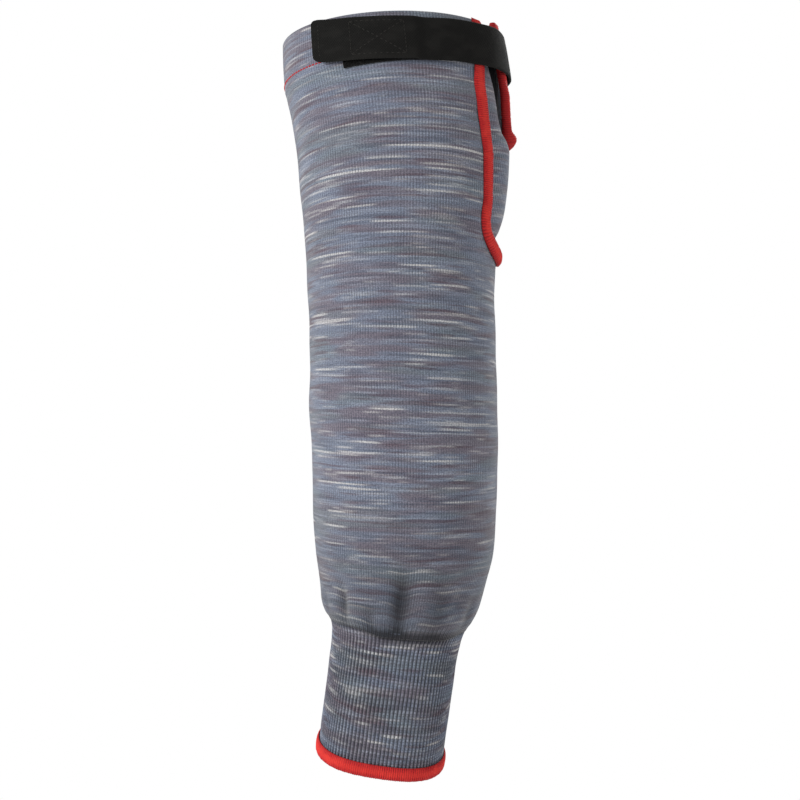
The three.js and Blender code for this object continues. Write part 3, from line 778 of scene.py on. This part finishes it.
def knit_body(settings):
    """Seamless knitted tube, slit down to the vent's bottom, with its inner side and folded rim."""
    rings, vent_rows = body_rows()
    angle, down = body_places(BODY_COLUMNS, rings)
    rounding = np.zeros_like(rings)
    rounding[:len(RIM_ROUNDING)] = RIM_ROUNDING
    pulled = creases(angle, rings)
    relief = soft_relief(angle, rings) - pulled
    lift = knit_lift(angle, rings)
    stitch = -HEM_GROOVE * np.exp(-((rings - HEM_STITCH_DOWN) / HEM_GROOVE_REACH) ** 2)
    wall = half_wall(rings)
    droop = lip_droop(angle, rings)
    outer = place(angle, down + droop, lift + wall - rounding + relief + stitch + droop * LIP_STANDS_OFF)
    inner = place(angle, down, lift - wall + rounding * 0.6 - pulled)
    wales = angle / 360 * settings.wales
    courses = (down - pulled * 0.9) / (settings.course_pitch / MM)
    # Painted shade: in the creases, in the fold above the cuff and over the gathers, darker towards the cuff;
    # the inner side's last row takes the same
    gathered = smooth_step(rings, BODY_LENGTH - 95, BODY_LENGTH - 8)
    shade = np.clip(np.clip(pulled * 0.15, 0, 0.5) + joint_shade(angle, rings) + 0.32 * gathered, 0, DARKEST)
    rib_shade = np.broadcast_to(smooth_step(rings, BODY_LENGTH - 13, BODY_LENGTH - 1), angle.shape)
    inside = np.zeros_like(shade)
    inside[:, -1] = shade[:, -1]
    piece = shell("knitted_body", outer, inner, threads(wales, courses), jersey(settings), True, vent_rows,
                  {"PaintedShade": np.stack((shade, inside)), "RibShade": np.stack((rib_shade, rib_shade))})
    return declare(piece, "marled_knit", "sleeve_body")


def gusset(settings):
    """Knit panel behind the vent, with a deep fold beside the vent's back edge that is painted near black as
    its shade.
    """
    wide = math.degrees(GUSSET_MARGIN / (HEM_WIDTH / 2))
    top = -KNIT_WALL - HEM_SWELL - BINDING_REACH - CLEARANCE
    rows, columns = 130, 44
    down = np.linspace(GUSSET_DROP, VENT_LENGTH + GUSSET_MARGIN, rows)
    front, back = vent_edges(np.minimum(down, VENT_LENGTH * 0.93))
    share = np.linspace(0, 1, columns)[:, None]
    angle = front - wide + (back - front + 2 * wide) * share
    between = np.clip((angle - front) / (back - front), 0, 1)
    full = np.sin(math.pi * between) ** GUSSET_FULLNESS
    lift = top + GUSSET_BULGE * read(VENT, "bulge", down / VENT_LENGTH) * full
    # The fold begins closer to the back edge the lower it is, and runs out half way down the vent
    fold_row = smooth_step(down, 4, 22) * (1 - smooth_step(down, VENT_LENGTH * 0.32, VENT_LENGTH * 0.50))
    fold_start = 0.42 + 0.42 * smooth_step(down, 18, 64)
    fold = smooth_step(between, fold_start, fold_start + 0.16) * (1 - smooth_step(between, 0.97, 1.0))
    sag = 0.25 * np.sin(down / 17) * np.sin(math.pi * share) - GUSSET_FOLD * fold_row * fold
    outer = place(angle, down, lift + sag)
    inner = place(angle, down, lift + sag - GUSSET_WALL)
    wales = (angle / 360 + 0.37) * settings.wales * 1.04
    courses = (down + 0.11 * (angle - front)) / (settings.course_pitch / MM) + 40.3
    # Painted shade, near black, down the fold beside the vent's back edge
    shade = 0.97 * np.minimum(fold_row * 1.6, 1) * smooth_step(between, fold_start - 0.04, fold_start + 0.06)
    piece = shell("vent_gusset_panel", outer, inner, threads(wales, courses), jersey(settings),
                  marks={"PaintedShade": np.stack((shade, np.zeros_like(shade)))})
    return declare(piece, "marled_knit", "vent_gusset")


def cuff(settings):
    """Cuff of one by one rib, with each rib a round ridge."""
    ribs = round(math.pi * CUFF_WIDTH * (1 + CUFF_DEPTH_SHARE) / 2 / RIB_PITCH)
    parts = 8
    count = ribs * parts
    phase = np.arange(count + 1)[:, None] / parts
    angle = 180 + phase * 360 / ribs
    down = np.linspace(BODY_LENGTH + CLEARANCE / 2, CUFF_EDGE, 64)
    draws = np.random.default_rng(5)
    sway = 0.05 * np.sin(down / 9 + draws.uniform(0, 6)) + 0.04 * np.sin(down / 5.3 + 2)
    ridge = np.abs(np.cos(math.pi * phase)) ** 1.3
    full = 0.35 + 0.65 * smooth_step(down, BODY_LENGTH, BODY_LENGTH + 8)
    lift = -RIB_RELIEF * (1 - ridge) * full
    slow = np.zeros_like(lift)
    for _ in range(8):
        turns, length = draws.integers(2, 9), draws.uniform(20, 70)
        turn, size = draws.uniform(0, 6.28), draws.uniform(0.02, 0.05)
        slow = slow - size * (1 + np.sin(turns * np.radians(angle) + 2 * math.pi * down / length + turn))
    outer = place(angle + sway, down, lift + slow)
    inner = place(angle, down, np.full_like(lift, -CUFF_WALL))
    outer[-1], inner[-1] = outer[0], inner[0]
    # Painted shade on the cuff's top, under the lip where the body hangs over it
    shade = np.clip(joint_shade(angle, down - lip_droop(angle, BODY_LENGTH)), 0, DARKEST)
    piece = shell("ribbed_cuff", outer, inner, threads(phase + 0.5, down / CUFF_COURSE_PITCH),
                  material_once("Marled rib knit", marled_knit, knit_colours(settings, 0.95), ribs, True),
                  True, marks={"PaintedShade": np.stack((shade, np.zeros_like(shade)))})
    return declare(piece, "rib_knit", "wrist_cuff")


def wrap_section(lip, edge, radius, count):
    """Rounded section of the thread that wraps an edge, from the outer lip round to the inner lip: places
    across the edge and out of the surface, and the share of the way round."""
    share = np.linspace(0, 1, count)
    straight = edge - lip - radius
    run = share * (2 * straight + math.pi * radius)
    turn = np.clip((run - straight) / radius, 0, math.pi)
    over = edge - radius - np.maximum(straight - run, 0) - np.maximum(run - straight - math.pi * radius, 0)
    return over + radius * np.sin(turn), radius * np.cos(turn), share


def overlock(name, edge_frames, along_length, section, pitch, settings, closed, swell=0, free=1):
    """Dense turns of thread swept along an edge: a closed skin with a round ridge for each turn, crowned
    in its middle and pinched in at its lips where it is free of what lies over it."""
    point, across, out = (directions[:, None] for directions in edge_frames)
    over, up, share = section
    turns = along_length / pitch
    phase = turns[:, None] + THREAD_SLANT * share
    ridge = np.abs(np.sin(math.pi * phase)) ** 0.7
    wobble = np.random.default_rng(3).uniform(-1, 1, int(turns.max()) + 3)
    if closed:
        wobble[-3:] = wobble[:3]
    uneven = np.interp(phase, np.arange(len(wobble)) + 0.5, wobble)
    lips = np.minimum(share, 1 - share)
    slope_over, slope_up = np.gradient(over), np.gradient(up)
    size = np.hypot(slope_over, slope_up)
    normal_over, normal_up = -slope_up / size, slope_over / size
    free, swell = (np.broadcast_to(value, turns.shape)[:, None] for value in (free, swell))
    pinch = THREAD_PINCH * free * np.exp(-((lips / 0.07) ** 2))
    grow = (THREAD_UNEVENNESS * uneven - THREAD_ROOT * (1 - ridge) - THREAD_TUCK * np.exp(-((lips / 0.05) ** 2))
            + swell + THREAD_CROWN * free * np.sin(math.pi * np.clip(share / 0.45, 0, 1)))
    if not closed:
        to_end = np.minimum(along_length, along_length[-1] - along_length)
        grow = grow - THREAD_END * (1 - np.sqrt(np.clip(to_end / 2, 0, 1)))[:, None]

    def skin(height):
        """Grid of points at a height off the section."""
        grid = (point + across * (over + normal_over * height)[..., None]
                + out * (up + normal_up * height)[..., None])
        if closed:
            grid[-1] = grid[0]
        return grid

    return shell(name, skin(grow - pinch), skin(-THREAD_SKIN - pinch),
                 threads(phase * pitch, share * THREAD_TURN), red_thread(settings), closed)


def vent_edge_frames(step):
    """Points along the vent's edge, from the back rim round the bottom to the front rim, evenly spaced,
    with the directions across the edge and out of the surface."""
    fine = VENT_LENGTH * (1 - (1 - np.linspace(0, 1, 900)) ** 2.2)
    front, back = vent_edges(fine)
    peak = RIM_PEAK * np.maximum(0, 1 - fine / HEM_DEPTH)
    angle = np.concatenate((back, front[-2::-1]))
    ring = np.concatenate((fine, fine[-2::-1]))
    down = np.concatenate((fine - peak, fine[-2::-1]))
    is_back = np.concatenate((np.ones(len(fine)), np.zeros(len(fine) - 1)))
    length = run_along(place(angle, down, knit_lift(angle, ring)))
    even = np.arange(0, length[-1], step)
    angle, ring, down, is_back = (np.interp(even, length, values) for values in (angle, ring, down, is_back))

    def middle(turn, drop):
        """The edge's points, moved round the arm and down it."""
        return place(angle + turn, down + drop, knit_lift(angle + turn, ring + drop))

    point = middle(0, 0)
    along = unit(np.gradient(point, axis=0))
    degree = middle(0.5, 0) - middle(-0.5, 0)
    millimetre = middle(0, 0.5) - middle(0, -0.5)
    level = unit(np.cross(along, np.cross(millimetre, degree)))
    lip = BINDING_REACH - VENT_OVERLOCK_WIDTH
    turn = (level * degree).sum(1) / (degree ** 2).sum(1) * lip
    drop = (level * millimetre).sum(1) * lip
    across = point - middle(turn, drop)
    across = unit(across - along * (across * along).sum(1)[:, None])
    return (point, across, unit(np.cross(across, along))), even, ring, is_back


def vent_binding(settings):
    """Red overlock round the vent's edge."""
    pitch = settings.pitch / MM
    edge_frames, length, ring, is_back = vent_edge_frames(pitch / 6)
    section = wrap_section(BINDING_REACH - VENT_OVERLOCK_WIDTH, BINDING_REACH,
                           KNIT_WALL / 2 + BINDING_REACH, 22)
    smooth = (is_back < 0.5) & (ring < VENT_LENGTH * 0.8)
    knob = np.where(smooth, 0, read(VENT, "knob", ring / VENT_LENGTH) * KNOB_BULGE)
    below_hem = smooth_step(ring, HEM_DEPTH + 2, HEM_DEPTH + 10)
    piece = overlock("vent_overlock_thread", edge_frames, length, section, pitch, settings, False, knob,
                     below_hem)
    return declare(piece, "red_thread", "vent_overlock")


def cuff_binding(settings):
    """Red overlock round the cuff's edge."""
    pitch = settings.pitch / MM
    wall_middle = -CUFF_WALL / 2
    circle = np.linspace(0, 360, 2001)
    length = run_along(place(circle, CUFF_EDGE, wall_middle))
    turns = round(length[-1] / pitch)
    pitch = length[-1] / turns
    even = np.arange(turns * 6 + 1) * pitch / 6
    angle = np.interp(even, length, circle)
    point = place(angle, CUFF_EDGE, wall_middle)
    across = place(angle, CUFF_EDGE + 0.5, wall_middle) - place(angle, CUFF_EDGE - 0.5, wall_middle)
    out = place(angle, CUFF_EDGE, wall_middle + 0.5) - place(angle, CUFF_EDGE, wall_middle - 0.5)
    section = wrap_section(BINDING_REACH - CUFF_OVERLOCK_HEIGHT, BINDING_REACH,
                           CUFF_WALL / 2 + CUFF_THREAD_EASE + THREAD_WRAP, 24)
    piece = overlock("cuff_overlock_thread", (point, unit(across), unit(out)), even, section, pitch, settings,
                     True, free=CUFF_THREAD_FREEDOM)
    return declare(piece, "red_thread", "cuff_overlock")


def dashes(path_of, count, share_on, radius, sink):
    """Paths of stitches along a route, each a shallow arc that fills a share of its place and sinks in at
    its two ends."""
    paths = []
    for k in range(count):
        share = (k + np.linspace(0.5 - share_on / 2, 0.5 + share_on / 2, STITCH_POINTS)) / count
        bow = np.sin(np.linspace(0, math.pi, STITCH_POINTS)) ** 0.6
        paths.append(path_of(share, (bow - 1) * sink + radius * 0.4))
    return paths


def hem_stitches(settings):
    """Red lockstitches that hold the folded hem down, from the vent's back edge round to its front edge."""
    front, back = (float(edge) for edge in vent_edges(HEM_STITCH_DOWN))
    start, end = back + HEM_STITCH_MARGIN, 360 + front - HEM_STITCH_MARGIN
    length = math.radians(end - start) * HEM_RADIUS
    count = round(length / (settings.hem_stitch / MM))

    def route(share, height):
        """Points on the hem at shares of its seam and heights off the knit."""
        angle = start + (end - start) * share
        lift = knit_lift(angle, np.full_like(angle, HEM_STITCH_DOWN)) + half_wall(HEM_STITCH_DOWN)
        return place(angle, HEM_STITCH_DOWN, lift - HEM_STITCH_SINK + height)

    paths = dashes(route, count, 0.72, HEM_STITCH_RADIUS, 0.7)
    # The second colour of the thread is painted shade between its turns
    piece = tubes("hem_stitches", paths, HEM_STITCH_RADIUS, 6,
                  material_once("Red sewing thread", wrapped_thread, "#b8343a", "#7c2228", "#c8585a", 1.0))
    return declare(piece, "red_thread")


def strap_place(angle, across):
    """Distance down and inner lift of the strap at an angle and a place across it."""
    down = STRAP_LEVEL - read(STRAP, "rise", angle) * STRAP_WIDTH + across
    return down, read(STRAP, "lift", angle)


def band_shell(name, angle, down, lift, thickness, lengthwise, crosswise, material):
    """Flat band with rounded selvedges: its outer side, edges and inner side as one closed skin."""
    rows = angle.shape[1]
    share = np.linspace(-1, 1, rows)[None, :]
    edge = 1 - 0.5 * np.clip((np.abs(share) - 0.94) / 0.06, 0, 1) ** 2
    outer = place(angle, down, lift + thickness / 2 + thickness / 2 * edge)
    inner = place(angle, down, lift + thickness / 2 - thickness / 2 * edge)
    return shell(name, outer, inner, threads(lengthwise, crosswise), material)


def strap(settings):
    """Webbing strap round the upper arm, with its rounded free end at the left."""
    columns, rows = 300, 46
    share = np.linspace(0, 1, columns)[:, None]
    across = np.linspace(-0.5, 0.5, rows)[None, :]
    edge = np.abs(across) * STRAP_WIDTH
    into = np.clip(edge - (STRAP_WIDTH / 2 - STRAP_CORNER), 0, STRAP_CORNER)
    cut = STRAP_CORNER - np.sqrt(np.maximum(STRAP_CORNER ** 2 - into ** 2, 0))
    angle = STRAP_START + (STRAP_END - STRAP_START) * share + cut * DEGREE_ROUND_HEM * (1 - share) ** 8
    down, lift = strap_place(angle, across * STRAP_WIDTH)
    lengthwise = (angle - STRAP_START) / DEGREE_ROUND_HEM
    draws = np.random.default_rng(8)
    ripple = np.zeros_like(angle)
    for _ in range(6):
        length, phase = draws.uniform(18, 60), draws.uniform(0, 6.28)
        ripple = ripple + 0.06 * np.sin(2 * math.pi * lengthwise / length + phase + across * 2)
    piece = band_shell("webbing_strap", angle, down, lift + ripple * (edge / STRAP_WIDTH * 2), STRAP_THICKNESS,
                       lengthwise, across * STRAP_WIDTH,
                       material_once("Black woven webbing", woven_webbing, settings.colour, "#0a0a09"))
    return declare(piece, "webbing", "closure_strap")


def strap_stitches(settings):
    """Black stitching on the strap: the hem of its free end, the box and cross over the hook tape, and the
    anchor seam at the back."""
    half = STRAP_WIDTH / 2 - SEAM_MARGIN
    end_seam = STRAP_START + END_SEAM
    box_start, box_end = HOOK_START + 3, HOOK_END - 1
    anchor_start, anchor_end = STRAP_END - ANCHOR_LENGTH, STRAP_END - END_SEAM
    routes = [
        ((end_seam, -half), (end_seam, half)),
        ((box_start, -half), (box_end, -half)), ((box_end, -half), (box_end, half)),
        ((box_end, half), (box_start, half)), ((box_start, half), (box_start, -half)),
        ((box_start, -half), (box_end, half)), ((box_start, half), (box_end, -half)),
        ((anchor_end, -half), (anchor_end, half)), ((anchor_start, -half), (anchor_start, half)),
        ((anchor_start, -half), (anchor_end, -half)), ((anchor_start, half), (anchor_end, half)),
    ]
    paths = []
    for (angle_a, across_a), (angle_b, across_b) in routes:
        length = math.hypot(math.radians(angle_b - angle_a) * HEM_RADIUS, across_b - across_a)
        count = max(2, round(length / (settings.stitch / MM)))

        def route(share, height):
            """Points on the strap at shares of one seam and heights off the webbing."""
            angle = angle_a + (angle_b - angle_a) * share
            down, lift = strap_place(angle, across_a + (across_b - across_a) * share)
            return place(angle, down, lift + STRAP_THICKNESS - STRAP_STITCH_SINK + height)

        paths += dashes(route, count, 0.74, STRAP_STITCH_RADIUS, 0.6)
    # The second colour of the thread is painted shade between its turns
    piece = tubes("strap_stitches", paths, STRAP_STITCH_RADIUS, 6,
                  material_once("Black bonded thread", wrapped_thread, "#2d2b28", "#141312", "#363330", 1.0))
    return declare(piece, "webbing")


def touch_patch(name, start, end, height, drop, lift, thickness, pitch, slot, node):
    """Patch of touch tape with a napped face, sewn flat on what lies under it."""
    columns, rows = 110, 60
    angle = np.broadcast_to(np.linspace(start, end, columns)[:, None], (columns, rows))
    down = patch_middle(angle, start, end, drop) + height * np.linspace(-0.5, 0.5, rows)[None, :]
    nap = np.random.default_rng(9).uniform(-0.5, 0.0, angle.shape) * 0.35
    piece = band_shell(name, angle, down, lift + nap * 0.5, thickness, (angle - start) / DEGREE_ROUND_HEM, down,
                       material_once("Black nylon " + slot.replace("_", " "), napped_nylon, "#151414", pitch))
    return declare(piece, slot, node)


def patch_middle(angle, start, end, drop):
    """Distance down of a touch patch's middle line."""
    return STRAP_LEVEL + drop * (1 - 2 * (angle - start) / (end - start))


def pile_loops():
    """Tiny nylon loops on the strip of the loop patch that shows below the strap."""
    draws = np.random.default_rng(21)
    paths = []
    for _ in range(PILE_LOOPS):
        angle = draws.uniform(LOOP_START + 0.6, LOOP_END - 0.6)
        bottom = float(patch_middle(angle, LOOP_START, LOOP_END, LOOP_DROP)) + LOOP_HEIGHT / 2 - 0.4
        down = bottom - draws.uniform(0, PILE_STRIP)
        turn = draws.uniform(0, math.pi)
        width = draws.uniform(0.25, 0.5)
        t = np.linspace(0, math.pi, 6)
        side = np.cos(t) * width
        paths.append(place(angle + side * math.cos(turn) * 0.95, down + side * math.sin(turn),
                           ON_HEM + LOOP_THICKNESS - 0.2 + np.sin(t) * draws.uniform(0.35, 0.65)))
    piece = tubes("loop_pile", paths, PILE_RADIUS, 4,
                  material_once("Black nylon loop pile", napped_nylon, "#1b1a1a", 0.7))
    return declare(piece, "loop_pile")


def studio(settings):
    """Pale floor, soft lights and the photograph's camera."""
    scene = bpy.context.scene
    scene.view_settings.view_transform = "Standard"
    world = bpy.data.worlds.new("Studio")
    scene.world = world
    world.use_nodes = True
    world.node_tree.nodes.clear()
    add = partial(add_node, world.node_tree)
    lit, seen = (add("Background", ((1, 1, 1, 1), strength)) for strength in (settings.ambient, 1.0))
    add("OutputWorld", (add("MixShader", (add("LightPath"), lit, seen)),))
    if settings.show_floor:
        bpy.ops.mesh.primitive_circle_add(vertices=96, radius=FLOOR_RADIUS, fill_type="NGON",
                                              location=(0, 0, FLOOR_LEVEL))
        floor = bpy.context.object
        floor.name = "floor"
        floor.data.materials.append(material_once("White studio paper", plain_white))
    for name, spot, size, share in LIGHTS:
        data = bpy.data.lights.new(name, "AREA")
        data.shape = "DISK"
        data.size = size
        data.energy = settings.key_power * share
        light = bpy.data.objects.new(name, data)
        light.location = spot
        light.rotation_mode = "QUATERNION"
        light.rotation_quaternion = (Vector(LIGHT_AIM) - Vector(spot)).to_track_quat("-Z", "Y")
        bpy.context.collection.objects.link(light)
    data = bpy.data.cameras.new("camera")
    data.sensor_width = 36
    data.lens = 18 * CAMERA_DISTANCE / CAMERA_HALF_VIEW
    camera = bpy.data.objects.new("camera", data)
    camera.location = CAMERA_PLACE
    camera.rotation_euler = (math.pi / 2, 0, 0)
    bpy.context.collection.objects.link(camera)
    scene.camera = camera


class SleeveOperator:
    """Shared parts of the sleeve's operators."""
    bl_options = {"REGISTER", "UNDO"}


class OBJECT_OT_sleeve_stage(SleeveOperator, bpy.types.Operator):
    """Set up the floor, lights and camera"""
    bl_idname = "object.sleeve_stage"
    bl_label = "Stage"

    def execute(self, context):
        studio(context.scene.sleeve_stage)
        return {"FINISHED"}


class OBJECT_OT_sleeve_body(SleeveOperator, bpy.types.Operator):
    """Knit the body and the gusset behind its vent"""
    bl_idname = "object.sleeve_body"
    bl_label = "Knitted Body"

    def execute(self, context):
        knit_body(context.scene.sleeve_knit)
        gusset(context.scene.sleeve_knit)
        return {"FINISHED"}


class OBJECT_OT_sleeve_cuff(SleeveOperator, bpy.types.Operator):
    """Knit the ribbed cuff"""
    bl_idname = "object.sleeve_cuff"
    bl_label = "Ribbed Cuff"

    def execute(self, context):
        cuff(context.scene.sleeve_knit)
        return {"FINISHED"}


class OBJECT_OT_sleeve_threads(SleeveOperator, bpy.types.Operator):
    """Sew the red overlock and the hem"""
    bl_idname = "object.sleeve_threads"
    bl_label = "Red Threads"

    def execute(self, context):
        vent_binding(context.scene.sleeve_thread)
        cuff_binding(context.scene.sleeve_thread)
        hem_stitches(context.scene.sleeve_thread)
        return {"FINISHED"}


class OBJECT_OT_sleeve_strap(SleeveOperator, bpy.types.Operator):
    """Sew on the touch patches and the strap"""
    bl_idname = "object.sleeve_strap"
    bl_label = "Closure Strap"

    def execute(self, context):
        settings = context.scene.sleeve_strap
        touch_patch("loop_tape", LOOP_START, LOOP_END, LOOP_HEIGHT, LOOP_DROP, ON_HEM,
                    LOOP_THICKNESS, 0.7, "loop_pile", "loop_patch")
        touch_patch("hook_tape", HOOK_START, HOOK_END, HOOK_HEIGHT, 0, OVER_LOOP,
                    HOOK_THICKNESS, 1.1, "hook_tape", "hook_patch")
        pile_loops()
        strap(settings)
        strap_stitches(settings)
        return {"FINISHED"}


OPERATORS = (OBJECT_OT_sleeve_stage, OBJECT_OT_sleeve_body, OBJECT_OT_sleeve_cuff, OBJECT_OT_sleeve_threads,
             OBJECT_OT_sleeve_strap)


class VIEW3D_PT_sleeve(bpy.types.Panel):
    """Pieces of the sleeve, in the order that they are made"""
    bl_idname = "VIEW3D_PT_sleeve"
    bl_label = "Cut Resistant Sleeve"
    bl_space_type = "VIEW_3D"
    bl_region_type = "UI"
    bl_category = "Sleeve"

    def draw(self, context):
        for operator in OPERATORS:
            self.layout.operator(operator.bl_idname)


GROUPS = {"sleeve_knit": KnitProperties, "sleeve_thread": ThreadProperties, "sleeve_strap": StrapProperties,
          "sleeve_stage": StageProperties}


def register():
    """Makes the classes and their settings known to Blender."""
    for kind in (*GROUPS.values(), *OPERATORS, VIEW3D_PT_sleeve):
        bpy.utils.register_class(kind)
    for name, group in GROUPS.items():
        setattr(bpy.types.Scene, name, PointerProperty(type=group))


def unregister():
    """Takes them out again."""
    for name in GROUPS:
        delattr(bpy.types.Scene, name)
    for kind in reversed((*GROUPS.values(), *OPERATORS, VIEW3D_PT_sleeve)):
        bpy.utils.unregister_class(kind)


def main():
    """Makes every piece."""
    register()
    bpy.ops.object.sleeve_stage()
    bpy.ops.object.sleeve_body()
    bpy.ops.object.sleeve_cuff()
    bpy.ops.object.sleeve_threads()
    bpy.ops.object.sleeve_strap()


if __name__ == "__main__":
    main()
